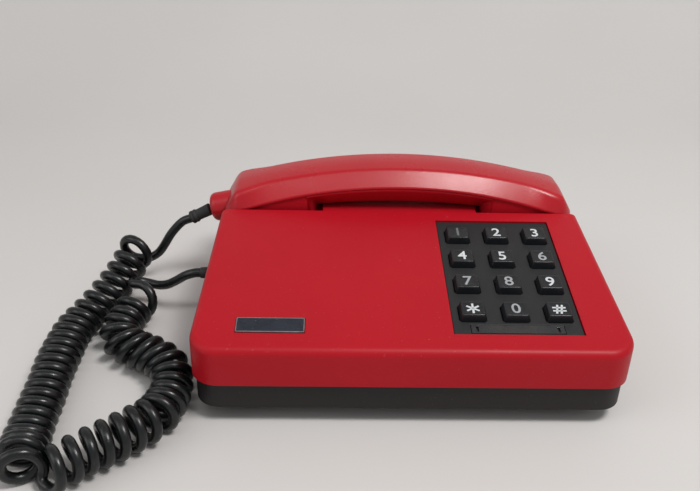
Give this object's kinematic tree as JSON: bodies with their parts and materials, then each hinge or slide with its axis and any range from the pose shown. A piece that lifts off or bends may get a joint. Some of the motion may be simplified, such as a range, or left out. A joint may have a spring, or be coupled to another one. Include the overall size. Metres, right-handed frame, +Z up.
{
  "type": "push-button desk telephone",
  "caption": "Wedge-shaped push-button desk telephone with a low arched handset lying in a cradle across the back and a curly handset cord on the left.",
  "frame": {"origin": "on the table, in the middle of the body's footprint", "axes": "+X to the telephone's right seen from the front, +Y to its back, +Z up"},
  "size_m": [0.2775, 0.205, 0.0786],
  "materials": {
    "red_shell": "satin moulded, finely grained",
    "black_base": "satin moulded, finely grained",
    "charcoal": "satin",
    "key_plastic": "semi-gloss with printed light digits",
    "card_window": "smooth",
    "badge": "blank dark plate with a silver border",
    "rubber": "matt",
    "cord_sheath": "satin flexible PVC",
    "steel": "zinc plated",
    "circuit_board": "laminate",
    "silicone": "matt",
    "inner_housing": "moulded"
  },
  "bodies": {
    "phone_body": {"top_cover": "red_shell", "base_tray": "black_base", "rubber_foot_1": "rubber", "rubber_foot_2": "rubber", "rubber_foot_3": "rubber", "rubber_foot_4": "rubber", "case_screw_1": "steel", "case_screw_2": "steel", "case_screw_3": "steel", "case_screw_4": "steel", "keypad_panel": "charcoal", "number_card_window": "card_window", "keypad_mat": "silicone", "keypad_board": "circuit_board", "badge_plate": "badge", "main_board": "circuit_board", "dialler_chip": "inner_housing", "line_transformer": "inner_housing", "ring_capacitor": "inner_housing", "ringer_sounder": "inner_housing", "line_jack": "inner_housing", "hook_switch": "inner_housing", "hook_spring": "steel", "cord_gland": "rubber", "cord_tail_handset": "cord_sheath", "cord_coil_back": "cord_sheath", "cord_coil_front": "cord_sheath", "cord_tail_base": "cord_sheath"},
    "handset": {"handset_upper_shell": "red_shell", "handset_lower_shell": "red_shell", "handset_screw_1": "steel", "handset_screw_2": "steel", "receiver_capsule": "steel", "microphone_capsule": "rubber", "cord_collar": "red_shell", "cord_relief": "rubber"},
    "key_star_body": {"key_star": "key_plastic"},
    "key_0_body": {"key_0": "key_plastic"},
    "key_hash_body": {"key_hash": "key_plastic"},
    "key_7_body": {"key_7": "key_plastic"},
    "key_8_body": {"key_8": "key_plastic"},
    "key_9_body": {"key_9": "key_plastic"},
    "key_4_body": {"key_4": "key_plastic"},
    "key_5_body": {"key_5": "key_plastic"},
    "key_6_body": {"key_6": "key_plastic"},
    "key_1_body": {"key_1": "key_plastic"},
    "key_2_body": {"key_2": "key_plastic"},
    "key_3_body": {"key_3": "key_plastic"},
    "hook_plunger_body": {"hook_plunger": "charcoal"}
  },
  "joints": [
    {"name": "handset_lift", "type": "slide", "parent": "phone_body", "child": "handset", "axis": [0, 0, 1], "range_m": [0, 0.08]},
    {"name": "hook_plunger_rise", "type": "slide", "parent": "phone_body", "child": "hook_plunger_body", "axis": [0, 0, 1], "range_m": [0, 0.004], "deforming": ["hook_spring"]},
    {"name": "press_star", "type": "slide", "parent": "phone_body", "child": "key_star_body", "axis": [0, 0.1392, -0.9903], "range_m": [0, 0.003], "stiffness_N_per_m": 200},
    {"name": "press_0", "type": "slide", "parent": "phone_body", "child": "key_0_body", "axis": [0, 0.1392, -0.9903], "range_m": [0, 0.003], "stiffness_N_per_m": 200},
    {"name": "press_hash", "type": "slide", "parent": "phone_body", "child": "key_hash_body", "axis": [0, 0.1392, -0.9903], "range_m": [0, 0.003], "stiffness_N_per_m": 200},
    {"name": "press_7", "type": "slide", "parent": "phone_body", "child": "key_7_body", "axis": [0, 0.1392, -0.9903], "range_m": [0, 0.003], "stiffness_N_per_m": 200},
    {"name": "press_8", "type": "slide", "parent": "phone_body", "child": "key_8_body", "axis": [0, 0.1392, -0.9903], "range_m": [0, 0.003], "stiffness_N_per_m": 200},
    {"name": "press_9", "type": "slide", "parent": "phone_body", "child": "key_9_body", "axis": [0, 0.1392, -0.9903], "range_m": [0, 0.003], "stiffness_N_per_m": 200},
    {"name": "press_4", "type": "slide", "parent": "phone_body", "child": "key_4_body", "axis": [0, 0.1392, -0.9903], "range_m": [0, 0.003], "stiffness_N_per_m": 200},
    {"name": "press_5", "type": "slide", "parent": "phone_body", "child": "key_5_body", "axis": [0, 0.1392, -0.9903], "range_m": [0, 0.003], "stiffness_N_per_m": 200},
    {"name": "press_6", "type": "slide", "parent": "phone_body", "child": "key_6_body", "axis": [0, 0.1392, -0.9903], "range_m": [0, 0.003], "stiffness_N_per_m": 200},
    {"name": "press_1", "type": "slide", "parent": "phone_body", "child": "key_1_body", "axis": [0, 0.1392, -0.9903], "range_m": [0, 0.003], "stiffness_N_per_m": 200},
    {"name": "press_2", "type": "slide", "parent": "phone_body", "child": "key_2_body", "axis": [0, 0.1392, -0.9903], "range_m": [0, 0.003], "stiffness_N_per_m": 200},
    {"name": "press_3", "type": "slide", "parent": "phone_body", "child": "key_3_body", "axis": [0, 0.1392, -0.9903], "range_m": [0, 0.003], "stiffness_N_per_m": 200}
  ],
  "couplings": [
    {"joint": "hook_plunger_rise", "follows": "handset_lift", "ratio": 0.05}
  ]
}
